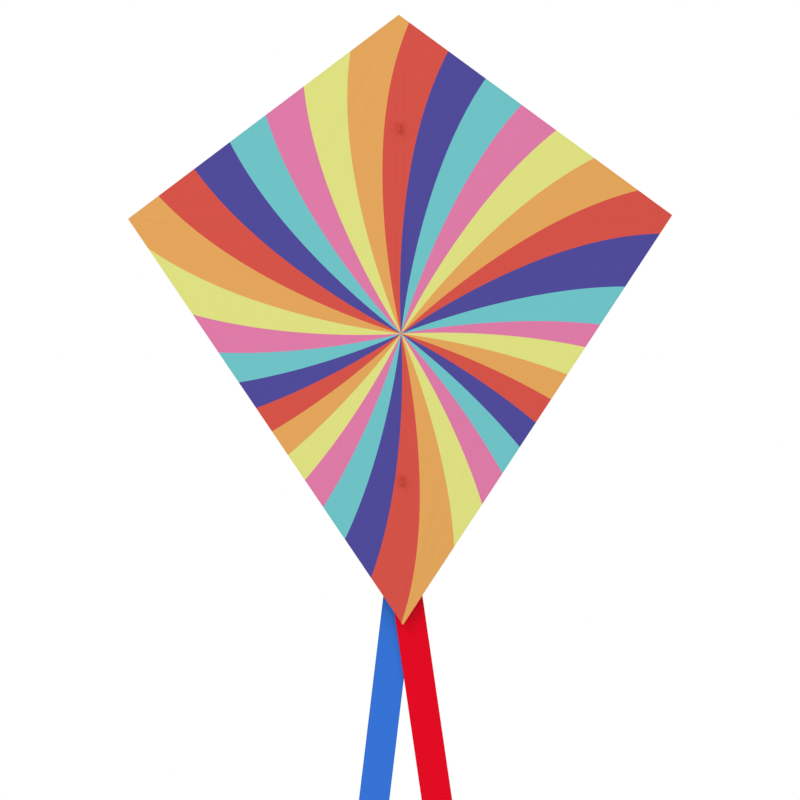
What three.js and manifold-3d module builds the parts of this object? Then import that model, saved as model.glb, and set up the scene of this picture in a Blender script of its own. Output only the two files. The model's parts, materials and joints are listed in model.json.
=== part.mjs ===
// A flat single-line diamond kite with two ribbon tails, as a three.js scene graph.
// Millimetres. +Z is up towards the nose, +X is to the right of someone who faces the
// front of the sail, and +Y points away from them, to the back, where the frame is.
// The origin is the middle of the centre hub's flat rear face, where the rods cross.

import * as THREE from "three";
import { mergeVertices } from "three/addons/utils/BufferGeometryUtils.js";
import Module from "manifold-3d";

const wasm = await Module();
wasm.setup();

// ---- Driving dimensions -------------------------------------------------------------

// Sail outline: a diamond, nose up, with the cross spar a third of the way down
const SAIL_HEIGHT = 762;
const SAIL_WIDTH = 679.5;
const NOSE_Z = 252.6;
const TAIL_Z = NOSE_Z - SAIL_HEIGHT;
const WING_X = SAIL_WIDTH / 2;

// Cloth layers, front to back, each a clearance apart
const CLEARANCE = 0.3;
const SAIL_THICKNESS = 0.4;
const TAPE_THICKNESS = 0.5;
const PATCH_THICKNESS = 0.4;
const FLANGE_THICKNESS = 0.8;

// Fold lines: they run from the nose's sides to the trailing edges, where they leave the
// bottom corner of the sail with the spine
const FOLD_NOSE_X = 26;
const FOLD_TAIL_X = 56;
const FOLD_HALF_GAP = 0.5;

// Rods and what is on them
const SPINE_RADIUS = 2;
const SPAR_RADIUS = 1.5;
const SPAR_INNER_END = 49;
const END_CAP_LENGTH = 14;
const END_CAP_WALL = 1.5;
const END_CAP_SKIN = 0.7;
const END_CAP_CHAMFER = 1;
const STOP_RING_RADIUS = 4.2;
const STOP_RING_HEIGHT = 5;

// Centre hub
const HUB_DEPTH = 12;
const HUB_WIDTH = 30;
const HUB_HEIGHT = 26;
const HUB_CORNER_RADIUS = 5;
const HUB_PLATE_THICKNESS = 3;
const HUB_BARREL_RADIUS = 5;
const HUB_FOOT_WIDTH = 14;
const HUB_FOOT_HEIGHT = 20;
const HUB_FOOT_DEPTH = 3;
const HUB_FOOT_CORNER_RADIUS = 3;
const SPIGOT_LENGTH = 10;
const SLEEVE_LENGTH = 52;
const SLEEVE_RADIUS = 3.5;

// Hem tapes, spine tape and hub patch
const HEM_WIDTH = 10;
const SPINE_TAPE_WIDTH = 14;
const SPINE_TAPE_END_INSET = 1;
const PATCH_WIDTH = 48;
const PATCH_HEIGHT = 44;
const PATCH_CORNER_RADIUS = 6;

// Pockets: where each mouth lies, how deep its bore is, and how far its tip stays inside
// the corner of the sail
const NOSE_POCKET_MOUTH_Z = 200;
const TAIL_POCKET_MOUTH_Z = -458;
const WING_POCKET_MOUTH_X = 296;
const NOSE_POCKET_BORE = 40;
const TAIL_POCKET_BORE = 30;
const WING_POCKET_BORE = 26;
const NOSE_POCKET_INSET = 1.5;
const TAIL_POCKET_INSET = 2;
const WING_POCKET_INSET = 2.5;
const SPINE_POCKET_HALF_WIDTH = 9.5;
const WING_POCKET_HALF_WIDTH = 11;
const WING_POCKET_TAPER = 16;
const SLEEVE_WALL = 1.1;

// Bridle tabs on the front, with a spine tab behind each
const TAB_HEIGHTS_Z = { upper: 110, lower: -330 };
const TAB_HALF_HEIGHT = 6.5;
const TAB_REACH = 11.5;
const TAB_TIP_RADIUS = 5.7;
const TAB_THICKNESS = 1.4;
const TAB_HOLE_RADIUS = 3.2;
const TAB_FOOT_HALF_WIDTH = 4.5;
const SPINE_TAB_HALF_WIDTH = 9;
const SPINE_TAB_HEIGHT = 14;

// Tail clip and ribbons
const PIVOT_Z = TAIL_Z + 76;
const CLIP_HALF_WIDTH = 6;
const CLIP_HALF_HEIGHT = 8;
const CLIP_WALL = 1.7;
const CLIP_SLOT_HALF_WIDTH = 1.6;
const POST_RADIUS = 2.4;
const POST_END_IN_CAP = 2.2;
const POST_CAP_RADIUS = 6;
const POST_CAP_THICKNESS = 3.6;
const EYELET_BARREL_RADIUS = 3.7;
const EYELET_FLANGE_RADIUS = 5.5;
const EYELET_FLANGE = 0.4;
const RIBBON_WIDTH = 38;
const RIBBON_LENGTH = 915;
const RIBBON_THICKNESS = 0.5;
const RIBBON_ABOVE_PIVOT = 14;
const RIBBON_BEND = 205; // from the pivot down to the line where the ribbon bends back
const RIBBON_WAVE = 12;
const RIBBON_WAVELENGTH = 430;
const RIBBON_FLAT = 100; // the ribbon hangs flat this far below the pivot
const RIBBON_STEP = 18; // longest flat facet along its wave
const RED_LEAN = THREE.MathUtils.degToRad(-7.9);
const BLUE_LEAN = THREE.MathUtils.degToRad(7.2);

// ---- Depths that follow from them ---------------------------------------------------

const ROD_Y = -HUB_DEPTH / 2;
const PATCH_BACK = -HUB_DEPTH - CLEARANCE;
const TAPE_BACK = PATCH_BACK - PATCH_THICKNESS - CLEARANCE;
const SAIL_BACK = TAPE_BACK - TAPE_THICKNESS - CLEARANCE;
const SAIL_FRONT = SAIL_BACK - SAIL_THICKNESS;
const FLANGE_FRONT = TAPE_BACK + CLEARANCE;
const FLANGE_BACK = FLANGE_FRONT + FLANGE_THICKNESS;

const SPINE_BORE = SPINE_RADIUS + CLEARANCE;
const SPINE_CAP_RADIUS = SPINE_BORE + END_CAP_SKIN;
const SPAR_BORE = SPAR_RADIUS + CLEARANCE;
const SPAR_CAP_RADIUS = SPAR_BORE + END_CAP_SKIN;

const SLEEVE_START = HUB_WIDTH / 2 + CLEARANCE;

const EYELET_THICKNESS = 2 * EYELET_FLANGE + 2 * CLEARANCE + RIBBON_THICKNESS;
const RED_EYELET_FRONT = 0;
const BLUE_EYELET_FRONT = RED_EYELET_FRONT + EYELET_THICKNESS + CLEARANCE;
const POST_CAP_FRONT = BLUE_EYELET_FRONT + EYELET_THICKNESS + CLEARANCE;

const ROUND_SIDES = 24; // flat sides on each rod, bore and barrel
const OVERCUT = 1; // how far a cutting tool passes the face that it cuts through

// ---- Materials ----------------------------------------------------------------------

function finish(color, roughness, metalness = 0) {
  return new THREE.MeshStandardMaterial({ color, roughness, metalness });
}

const finishes = {
  sailOrange: () => finish("#e1a45b", 0.85),
  sailTeal: () => finish("#6ec1c5", 0.85),
  sailPink: () => finish("#dc7aa6", 0.85),
  sailRed: () => finish("#d35348", 0.85),
  tape: () => finish("#34343a", 0.85),
  webbing: () => finish("#26262a", 0.85),
  blueRibbon: () => finish("#3672d4", 0.6),
  redRibbon: () => finish("#df0023", 0.6),
  rod: () => finish("#1c1c1e", 0.35),
  moulded: () => finish("#2a2b2e", 0.55),
  vinyl: () => finish("#3b3b3f", 0.45),
  brass: () => finish("#c9a24a", 0.3, 0.9),
};

const kite = new THREE.Group();

function place(name, geometry, material, parent = kite) {
  const mesh = new THREE.Mesh(geometry, material);
  mesh.name = name;
  parent.add(mesh);
  return mesh;
}

// ---- Solids -------------------------------------------------------------------------

function toSolid(geometry) {
  geometry.deleteAttribute("normal");
  geometry.deleteAttribute("uv");
  const merged = mergeVertices(geometry, 1e-4);
  const vertProperties = new Float32Array(merged.attributes.position.array);
  const triVerts = new Uint32Array(merged.index.array);
  return new wasm.Manifold(new wasm.Mesh({ numProp: 3, vertProperties, triVerts }));
}

function toGeometry(solid) {
  const { vertProperties, triVerts } = solid.getMesh();
  const geometry = new THREE.BufferGeometry();
  geometry.setAttribute("position", new THREE.BufferAttribute(vertProperties, 3));
  geometry.setIndex(new THREE.BufferAttribute(triVerts, 1));
  return geometry;
}

// Joins the first list of geometries and cuts the second list out of the result.
function carve(joined, cut = []) {
  const whole = joined.map(toSolid).reduce((sum, solid) => sum.add(solid));
  return toGeometry(cut.map(toSolid).reduce((rest, solid) => rest.subtract(solid), whole));
}

const outline = (points) => new THREE.Shape(points.map(([u, v]) => new THREE.Vector2(u, v)));

// A flat plate whose outline is given in x and z.
function plate(shape, front, back) {
  const options = { depth: back - front, bevelEnabled: false, curveSegments: 8 };
  const geometry = new THREE.ExtrudeGeometry(shape, options);
  return geometry.rotateX(Math.PI / 2).translate(0, back, 0);
}

// A prism along x whose outline is given in y and z, centred on x = 0.
function prismAlongX(shape, width) {
  const options = { depth: width, bevelEnabled: false, curveSegments: 12 };
  const geometry = new THREE.ExtrudeGeometry(shape, options);
  const turn = new THREE.Matrix4().makeBasis(
    new THREE.Vector3(0, 1, 0),
    new THREE.Vector3(0, 0, 1),
    new THREE.Vector3(1, 0, 0),
  );
  return geometry.applyMatrix4(turn).translate(-width / 2, 0, 0);
}

function box(low, high) {
  const size = high.map((value, axis) => value - low[axis]);
  const middle = high.map((value, axis) => (value + low[axis]) / 2);
  return new THREE.BoxGeometry(...size).translate(...middle);
}

// Round bars from low to high. Those along z and x lie on the rods' axes.
const bar = (radius, length) => new THREE.CylinderGeometry(radius, radius, length, ROUND_SIDES);

function barAlongZ(radius, low, high) {
  return bar(radius, high - low).rotateX(Math.PI / 2).translate(0, ROD_Y, (low + high) / 2);
}

function barAlongX(radius, low, high) {
  return bar(radius, high - low).rotateZ(Math.PI / 2).translate((low + high) / 2, ROD_Y, 0);
}

function barAlongY(radius, low, high, z) {
  return bar(radius, high - low).translate(0, (low + high) / 2, z);
}

// A profile of radii and heights, turned about y.
function turned(profile) {
  const points = profile.map(([radius, height]) => new THREE.Vector2(radius, height));
  return new THREE.LatheGeometry(points, ROUND_SIDES);
}

// A ring about y, from 0 up to its height.
function ring(innerRadius, outerRadius, height) {
  return turned([
    [innerRadius, 0],
    [outerRadius, 0],
    [outerRadius, height],
    [innerRadius, height],
    [innerRadius, 0],
  ]);
}

// A vinyl end cap about y: open at 0, closed at its full length.
function endCap(bore, length) {
  const depth = length - END_CAP_WALL;
  const radius = bore + END_CAP_SKIN;
  return turned([
    [0, depth],
    [bore, depth],
    [bore, 0],
    [radius, 0],
    [radius, length - END_CAP_CHAMFER],
    [radius - END_CAP_CHAMFER, length],
    [0, length],
  ]);
}

// ---- Sail outline, fold lines and strips cut from them --------------------------------

// Keeps the part of a convex outline on the side of a line that its normal points to.
function keep(points, line) {
  const [atX, atZ] = line.at;
  const [normalX, normalZ] = line.normal;
  const heights = points.map(([x, z]) => (x - atX) * normalX + (z - atZ) * normalZ);
  const kept = [];
  points.forEach((point, index) => {
    const next = (index + 1) % points.length;
    if (heights[index] >= 0) kept.push(point);
    if (heights[index] * heights[next] < 0) {
      const share = heights[index] / (heights[index] - heights[next]);
      kept.push(point.map((value, axis) => value + share * (points[next][axis] - value)));
    }
  });
  return kept;
}

// The line through a and b, moved sideways by shift, with its normal on b's left.
function lineThrough(a, b, shift = 0) {
  const length = Math.hypot(b[0] - a[0], b[1] - a[1]);
  const normal = [-(b[1] - a[1]) / length, (b[0] - a[0]) / length];
  return { at: [a[0] + normal[0] * shift, a[1] + normal[1] * shift], normal };
}

const flip = (line) => ({ at: line.at, normal: line.normal.map((value) => -value) });
const mirror = (points, side) => points.map(([x, z]) => [side * x, z]);

const NOSE = [0, NOSE_Z];
const RIGHT_TIP = [WING_X, 0];
const TAIL = [0, TAIL_Z];
const RIGHT_HALF = [NOSE, TAIL, RIGHT_TIP];
const FOLD_TAIL_Z = TAIL_Z * (1 - FOLD_TAIL_X / WING_X);
const FOLD_TOP = [FOLD_NOSE_X, NOSE_Z];
const FOLD_BOTTOM = [FOLD_TAIL_X, FOLD_TAIL_Z];

const outboardOfFold = lineThrough(FOLD_TOP, FOLD_BOTTOM, FOLD_HALF_GAP);
const inboardOfFold = flip(lineThrough(FOLD_TOP, FOLD_BOTTOM, -FOLD_HALF_GAP));
const leadingStrip = flip(lineThrough(RIGHT_TIP, NOSE, HEM_WIDTH));
const leadingInside = lineThrough(RIGHT_TIP, NOSE, HEM_WIDTH + CLEARANCE);
const trailingStrip = flip(lineThrough(TAIL, RIGHT_TIP, HEM_WIDTH));
const besideSpineTape = { at: [SPINE_TAPE_WIDTH / 2 + CLEARANCE, 0], normal: [1, 0] };

const cut = (points, ...lines) => lines.reduce(keep, points);

const rightWingOutline = cut(RIGHT_HALF, outboardOfFold);
const centreHalfOutline = cut(RIGHT_HALF, inboardOfFold);
const hemOutlines = {
  leading: cut(RIGHT_HALF, outboardOfFold, leadingStrip),
  trailing: cut(RIGHT_HALF, outboardOfFold, trailingStrip, leadingInside),
  nose: cut(RIGHT_HALF, inboardOfFold, leadingStrip, besideSpineTape),
  tail: cut(RIGHT_HALF, inboardOfFold, trailingStrip, besideSpineTape),
};

// ---- Sewn sleeves: pockets and spine tabs ---------------------------------------------

// A flange on the sail with a raised sleeve along z that holds a rod, its mouth at z = 0.
// The bore goes right through when it is deeper than the sleeve is long.
function sewnSleeve(flangeOutline, sleeveLength, bore, boreDepth) {
  const radius = bore + SLEEVE_WALL;
  const flange = plate(outline(flangeOutline), FLANGE_FRONT, FLANGE_BACK);
  const web = box([-radius, FLANGE_FRONT + CLEARANCE, 0], [radius, ROD_Y, sleeveLength]);
  const sleeve = barAlongZ(radius, 0, sleeveLength);
  return carve([flange, web, sleeve], [barAlongZ(bore, -OVERCUT, boreDepth)]);
}

function pocket(halfWidth, shoulder, apex, bore, boreDepth) {
  const flange = [
    [-halfWidth, 0],
    [halfWidth, 0],
    [halfWidth, shoulder],
    [0, apex],
    [-halfWidth, shoulder],
  ];
  return sewnSleeve(flange, boreDepth + END_CAP_WALL, bore, boreDepth);
}

// ---- Root: centre of the sail, spine, hub and tail clip --------------------------------

function addCentreSail() {
  const left = mirror(centreHalfOutline, -1);
  const panel = carve([
    plate(outline(centreHalfOutline), SAIL_FRONT, SAIL_BACK),
    plate(outline(left), SAIL_FRONT, SAIL_BACK),
  ]);
  place("sail_centre_panel", panel, finishes.sailOrange());
  for (const [label, side] of [["left", -1], ["right", 1]]) {
    for (const end of ["nose", "tail"]) {
      const hem = plate(outline(mirror(hemOutlines[end], side)), SAIL_BACK + CLEARANCE, TAPE_BACK);
      place(`${label}_${end}_hem`, hem, finishes.tape());
    }
  }
}

function addSpineTape() {
  const half = SPINE_TAPE_WIDTH / 2;
  const strip = [
    [-half, TAIL_Z + SPINE_TAPE_END_INSET],
    [half, TAIL_Z + SPINE_TAPE_END_INSET],
    [half, NOSE_Z - SPINE_TAPE_END_INSET],
    [-half, NOSE_Z - SPINE_TAPE_END_INSET],
  ];
  const sides = [
    lineThrough(TAIL, RIGHT_TIP),
    lineThrough(RIGHT_TIP, NOSE),
    lineThrough(NOSE, [-WING_X, 0]),
    lineThrough([-WING_X, 0], TAIL),
  ];
  const tape = plate(outline(cut(strip, ...sides)), SAIL_BACK + CLEARANCE, TAPE_BACK);
  place("spine_tape", tape, finishes.tape());
}

function roundedRectangle(width, height, radius) {
  const [x, z] = [width / 2, height / 2];
  const shape = new THREE.Shape();
  shape.moveTo(-x + radius, -z);
  shape.lineTo(x - radius, -z);
  shape.absarc(x - radius, -z + radius, radius, -Math.PI / 2, 0);
  shape.lineTo(x, z - radius);
  shape.absarc(x - radius, z - radius, radius, 0, Math.PI / 2);
  shape.lineTo(-x + radius, z);
  shape.absarc(-x + radius, z - radius, radius, Math.PI / 2, Math.PI);
  shape.lineTo(-x, -z + radius);
  shape.absarc(-x + radius, -z + radius, radius, Math.PI, 1.5 * Math.PI);
  return shape;
}

function addSpinePockets() {
  const bore = SPINE_CAP_RADIUS + CLEARANCE;
  const noseApex = NOSE_Z - NOSE_POCKET_MOUTH_Z - NOSE_POCKET_INSET;
  const noseShoulder = noseApex - SPINE_POCKET_HALF_WIDTH * (NOSE_Z / WING_X);
  const nose = pocket(SPINE_POCKET_HALF_WIDTH, noseShoulder, noseApex, bore, NOSE_POCKET_BORE);
  place("nose_pocket", nose.translate(0, 0, NOSE_POCKET_MOUTH_Z), finishes.webbing());

  const tailApex = TAIL_POCKET_MOUTH_Z - TAIL_Z - TAIL_POCKET_INSET;
  const tailShoulder = tailApex - SPINE_POCKET_HALF_WIDTH * (-TAIL_Z / WING_X);
  const tail = pocket(SPINE_POCKET_HALF_WIDTH, tailShoulder, tailApex, bore, TAIL_POCKET_BORE);
  tail.rotateY(Math.PI).translate(0, 0, TAIL_POCKET_MOUTH_Z);
  place("tail_pocket", tail, finishes.webbing());
}

function addSpine() {
  const capTop = NOSE_POCKET_MOUTH_Z + NOSE_POCKET_BORE - CLEARANCE;
  const capBottom = TAIL_POCKET_MOUTH_Z - TAIL_POCKET_BORE + CLEARANCE;
  const rodInset = END_CAP_WALL + CLEARANCE;
  place("spine_rod", barAlongZ(SPINE_RADIUS, capBottom + rodInset, capTop - rodInset), finishes.rod());

  const noseCap = endCap(SPINE_BORE, END_CAP_LENGTH).rotateX(Math.PI / 2);
  place("nose_end_cap", noseCap.translate(0, ROD_Y, capTop - END_CAP_LENGTH), finishes.vinyl());
  const tailCap = endCap(SPINE_BORE, END_CAP_LENGTH).rotateX(-Math.PI / 2);
  place("tail_end_cap", tailCap.translate(0, ROD_Y, capBottom + END_CAP_LENGTH), finishes.vinyl());

  const ringOffset = HUB_HEIGHT / 2 + CLEARANCE;
  for (const [label, bottom] of [["upper", ringOffset], ["lower", -ringOffset - STOP_RING_HEIGHT]]) {
    const stop = ring(SPINE_BORE, STOP_RING_RADIUS, STOP_RING_HEIGHT).rotateX(Math.PI / 2);
    place(`${label}_stop_ring`, stop.translate(0, ROD_Y, bottom), finishes.vinyl());
  }
}

// The hub is a cross of two barrels on a rear plate, with a foot that rests on its patch.
function addCentreHub() {
  const rearPlate = roundedRectangle(HUB_WIDTH, HUB_HEIGHT, HUB_CORNER_RADIUS);
  const foot = roundedRectangle(HUB_FOOT_WIDTH, HUB_FOOT_HEIGHT, HUB_FOOT_CORNER_RADIUS);
  const reach = HUB_WIDTH / 2 + SPIGOT_LENGTH;
  const hub = carve(
    [
      plate(rearPlate, -HUB_PLATE_THICKNESS, 0),
      barAlongZ(HUB_BARREL_RADIUS, -HUB_HEIGHT / 2, HUB_HEIGHT / 2),
      barAlongX(HUB_BARREL_RADIUS, -HUB_WIDTH / 2, HUB_WIDTH / 2),
      barAlongX(SPAR_RADIUS, -reach, reach),
      plate(foot, -HUB_DEPTH, -HUB_DEPTH + HUB_FOOT_DEPTH),
    ],
    [barAlongZ(SPINE_BORE, -HUB_HEIGHT, HUB_HEIGHT)],
  );
  place("centre_hub", hub, finishes.moulded());
  const patch = roundedRectangle(PATCH_WIDTH, PATCH_HEIGHT, PATCH_CORNER_RADIUS);
  place("hub_patch", plate(patch, PATCH_BACK - PATCH_THICKNESS, PATCH_BACK), finishes.webbing());
}

function addSparSleeves() {
  for (const [label, side] of [["left", -1], ["right", 1]]) {
    const sleeve = ring(SPAR_BORE, SLEEVE_RADIUS, SLEEVE_LENGTH).rotateZ((-side * Math.PI) / 2);
    place(`${label}_spar_sleeve`, sleeve.translate(side * SLEEVE_START, ROD_Y, 0), finishes.vinyl());
  }
}

// The standing part of a bridle tab, with its rounded tip and its hole, in y and z.
function tabOutline(front) {
  const tipCentre = front - TAB_REACH + TAB_TIP_RADIUS;
  const shape = new THREE.Shape();
  shape.moveTo(front, -TAB_HALF_HEIGHT);
  shape.lineTo(front, TAB_HALF_HEIGHT);
  shape.lineTo(tipCentre, TAB_TIP_RADIUS);
  shape.absarc(tipCentre, 0, TAB_TIP_RADIUS, Math.PI / 2, 1.5 * Math.PI);
  const hole = new THREE.Path();
  hole.absarc(tipCentre, 0, TAB_HOLE_RADIUS, 0, 2 * Math.PI);
  shape.holes.push(hole);
  return shape;
}

// A bridle tab stands out from the front of the sail, and the spine tab behind it takes
// the pull to the rod.
function addTabs() {
  const front = SAIL_FRONT - CLEARANCE;
  const hoopFlange = [
    [-SPINE_TAB_HALF_WIDTH, 0],
    [SPINE_TAB_HALF_WIDTH, 0],
    [SPINE_TAB_HALF_WIDTH, SPINE_TAB_HEIGHT],
    [-SPINE_TAB_HALF_WIDTH, SPINE_TAB_HEIGHT],
  ];
  for (const [label, height] of Object.entries(TAB_HEIGHTS_Z)) {
    const foot = box(
      [-TAB_FOOT_HALF_WIDTH, front - FLANGE_THICKNESS, -TAB_HALF_HEIGHT],
      [TAB_FOOT_HALF_WIDTH, front, TAB_HALF_HEIGHT],
    );
    const tab = carve([prismAlongX(tabOutline(front), TAB_THICKNESS), foot]);
    place(`${label}_bridle_tab`, tab.translate(0, 0, height), finishes.sailRed());
    const hoop = sewnSleeve(hoopFlange, SPINE_TAB_HEIGHT, SPINE_BORE, SPINE_TAB_HEIGHT + OVERCUT);
    place(`${label}_spine_tab`, hoop.translate(0, 0, height - SPINE_TAB_HEIGHT / 2), finishes.webbing());
  }
}

// A snap-on clip round the spine, with the post that the ribbons' eyelets turn on.
function addTailClip() {
  const front = ROD_Y - SPINE_BORE - CLIP_WALL;
  const bottom = PIVOT_Z - CLIP_HALF_HEIGHT;
  const top = PIVOT_Z + CLIP_HALF_HEIGHT;
  const postEnd = POST_CAP_FRONT + POST_END_IN_CAP;
  const clip = carve(
    [
      box([-CLIP_HALF_WIDTH, front, bottom], [CLIP_HALF_WIDTH, -CLEARANCE, top]),
      barAlongY(POST_RADIUS, -CLEARANCE - OVERCUT, postEnd, PIVOT_Z),
    ],
    [
      barAlongZ(SPINE_BORE, bottom - OVERCUT, top + OVERCUT),
      box(
        [-CLIP_SLOT_HALF_WIDTH, front - OVERCUT, bottom - OVERCUT],
        [CLIP_SLOT_HALF_WIDTH, ROD_Y, top + OVERCUT],
      ),
    ],
  );
  place("tail_clip", clip, finishes.moulded());

  const cap = carve(
    [barAlongY(POST_CAP_RADIUS, POST_CAP_FRONT, POST_CAP_FRONT + POST_CAP_THICKNESS, PIVOT_Z)],
    [barAlongY(POST_RADIUS + CLEARANCE, POST_CAP_FRONT - OVERCUT, postEnd + CLEARANCE, PIVOT_Z)],
  );
  place("tail_clip_cap", cap, finishes.moulded());
}

// ---- Wings ------------------------------------------------------------------------------

function addWing(label, side, panelFinish) {
  const wing = new THREE.Group();
  kite.add(wing);
  const panel = plate(outline(mirror(rightWingOutline, side)), SAIL_FRONT, SAIL_BACK);
  place(`${label}_sail_panel`, panel, panelFinish, wing);
  for (const edge of ["leading", "trailing"]) {
    const hem = plate(outline(mirror(hemOutlines[edge], side)), SAIL_BACK + CLEARANCE, TAPE_BACK);
    place(`${label}_${edge}_hem`, hem, finishes.tape(), wing);
  }

  const capEnd = WING_POCKET_MOUTH_X + WING_POCKET_BORE - CLEARANCE;
  const sparEnd = capEnd - END_CAP_WALL - CLEARANCE;
  const ends = side > 0 ? [SPAR_INNER_END, sparEnd] : [-sparEnd, -SPAR_INNER_END];
  place(`${label}_cross_spar`, barAlongX(SPAR_RADIUS, ...ends), finishes.rod(), wing);

  const cap = endCap(SPAR_BORE, END_CAP_LENGTH).rotateZ((-side * Math.PI) / 2);
  cap.translate(side * (capEnd - END_CAP_LENGTH), ROD_Y, 0);
  place(`${label}_spar_end_cap`, cap, finishes.vinyl(), wing);

  const apex = WING_X - WING_POCKET_MOUTH_X - WING_POCKET_INSET;
  const shoulder = apex - WING_POCKET_TAPER;
  const bore = SPAR_CAP_RADIUS + CLEARANCE;
  const sleeve = pocket(WING_POCKET_HALF_WIDTH, shoulder, apex, bore, WING_POCKET_BORE);
  sleeve.rotateY((side * Math.PI) / 2).translate(side * WING_POCKET_MOUTH_X, 0, 0);
  place(`${label}_wing_pocket`, sleeve, finishes.webbing(), wing);
}

// ---- Ribbon tails -------------------------------------------------------------------------

// How far back the ribbon lies from its own plane, at a distance below the pivot.
function ribbonWave(distance) {
  const fade = THREE.MathUtils.smoothstep(distance, RIBBON_FLAT, RIBBON_LENGTH);
  return RIBBON_WAVE * fade * Math.sin((2 * Math.PI * (distance - RIBBON_FLAT)) / RIBBON_WAVELENGTH);
}

function ribbonStrip(start, end, middle) {
  const steps = Math.ceil((end - start) / RIBBON_STEP);
  const pitch = (end - start) / steps;
  const distances = Array.from({ length: steps + 1 }, (_, step) => start + step * pitch);
  const face = (offset) =>
    distances.map((distance) => [middle + offset + ribbonWave(distance), -distance]);
  const front = face(-RIBBON_THICKNESS / 2);
  const back = face(RIBBON_THICKNESS / 2);
  return prismAlongX(outline([...front, ...back.reverse()]), RIBBON_WIDTH);
}

function eyelet(front) {
  const inner = POST_RADIUS + CLEARANCE;
  const back = front + EYELET_THICKNESS;
  return turned([
    [inner, front],
    [EYELET_FLANGE_RADIUS, front],
    [EYELET_FLANGE_RADIUS, front + EYELET_FLANGE],
    [EYELET_BARREL_RADIUS, front + EYELET_FLANGE],
    [EYELET_BARREL_RADIUS, back - EYELET_FLANGE],
    [EYELET_FLANGE_RADIUS, back - EYELET_FLANGE],
    [EYELET_FLANGE_RADIUS, back],
    [inner, back],
    [inner, front],
  ]);
}

function addRibbon(label, lean, eyeletFront, cloth) {
  const tail = new THREE.Group();
  tail.position.set(0, 0, PIVOT_Z);
  tail.rotation.y = lean;
  kite.add(tail);
  const middle = eyeletFront + EYELET_THICKNESS / 2;
  const punched = [middle - RIBBON_THICKNESS - OVERCUT, middle + RIBBON_THICKNESS + OVERCUT];
  const hole = barAlongY(EYELET_BARREL_RADIUS + CLEARANCE, ...punched, 0);
  const upper = carve([ribbonStrip(-RIBBON_ABOVE_PIVOT, RIBBON_BEND - CLEARANCE, middle)], [hole]);
  const lower = ribbonStrip(RIBBON_BEND + CLEARANCE, RIBBON_LENGTH - RIBBON_ABOVE_PIVOT, middle);
  place(`${label}_ribbon_upper`, upper, cloth(), tail);
  place(`${label}_ribbon_lower`, lower, cloth(), tail);
  place(`${label}_eyelet`, eyelet(eyeletFront), finishes.brass(), tail);
}

// ---- Assembly -------------------------------------------------------------------------------

addCentreSail();
addSpineTape();
addSpinePockets();
addSpine();
addCentreHub();
addSparSleeves();
addTabs();
addTailClip();
addWing("left", -1, finishes.sailTeal());
addWing("right", 1, finishes.sailPink());
addRibbon("blue", BLUE_LEAN, BLUE_EYELET_FRONT, finishes.blueRibbon);
addRibbon("red", RED_LEAN, RED_EYELET_FRONT, finishes.redRibbon);

export default kite;
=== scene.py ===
import json
import math

import bmesh
import bpy
import numpy as np
from mathutils import Matrix, Vector


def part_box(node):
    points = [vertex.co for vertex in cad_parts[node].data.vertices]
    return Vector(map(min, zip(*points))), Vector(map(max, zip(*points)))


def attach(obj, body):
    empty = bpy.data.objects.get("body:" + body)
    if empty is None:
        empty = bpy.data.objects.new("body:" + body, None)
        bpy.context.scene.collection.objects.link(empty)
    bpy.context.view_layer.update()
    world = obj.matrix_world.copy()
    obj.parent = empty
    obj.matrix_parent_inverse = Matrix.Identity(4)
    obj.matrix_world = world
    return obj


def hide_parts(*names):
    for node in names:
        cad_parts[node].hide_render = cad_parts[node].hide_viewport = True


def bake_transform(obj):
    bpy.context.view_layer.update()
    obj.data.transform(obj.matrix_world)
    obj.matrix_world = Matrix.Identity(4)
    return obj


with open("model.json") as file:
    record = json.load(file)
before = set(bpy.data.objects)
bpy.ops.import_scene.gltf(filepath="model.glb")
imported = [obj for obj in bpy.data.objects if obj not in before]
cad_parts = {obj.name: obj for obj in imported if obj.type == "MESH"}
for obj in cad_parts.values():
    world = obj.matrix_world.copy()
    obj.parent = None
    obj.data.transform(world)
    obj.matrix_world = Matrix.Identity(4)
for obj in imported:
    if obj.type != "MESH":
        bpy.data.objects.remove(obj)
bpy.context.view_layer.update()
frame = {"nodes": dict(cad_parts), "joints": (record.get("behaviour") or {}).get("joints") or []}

MM = 0.001
DEGREE = math.pi / 180
TINY = 1e-9

# ---- Sizes read from the frame ----

JOINTS = {joint["name"]: joint for joint in frame["joints"]}
NOSE_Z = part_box("sail_centre_panel")[1].z
TAIL_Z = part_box("sail_centre_panel")[0].z
WING_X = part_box("right_sail_panel")[1].x
SAIL_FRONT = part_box("sail_centre_panel")[0].y
SAIL_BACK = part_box("sail_centre_panel")[1].y
TAPE_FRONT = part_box("spine_tape")[0].y
TAPE_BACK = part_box("spine_tape")[1].y
FLANGE_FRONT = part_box("nose_pocket")[0].y
ROD_Y = sum(corner.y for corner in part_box("spine_rod")) / 2
SPINE_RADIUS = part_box("spine_rod")[1].x
SPAR_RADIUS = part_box("right_cross_spar")[1].z
PIVOT = Vector(JOINTS["red_tail_swing"]["pos_m"])
SIDES = {"left": -1, "right": 1}

# ---- Sail ----

BILLOW = 3.5 * MM
WRINKLE = 0.5 * MM
CREASES = 9  # half waves in the fan of creases at a corner
TIP_CREASE = 90 * MM  # distance from the corner at which its creases are deepest
NOSE_CREASE = 110 * MM
TAIL_CREASE = 120 * MM
SAIL_COLUMNS = 96
SAIL_ROWS = 150
NEAR_SHARE = 0.2  # of the half width: this stretch round the fold holds a third of the columns
TIP_SHARE = 0.9985  # of the half width, where the blunt wing tip ends

# ---- Tapes and thread ----

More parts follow.
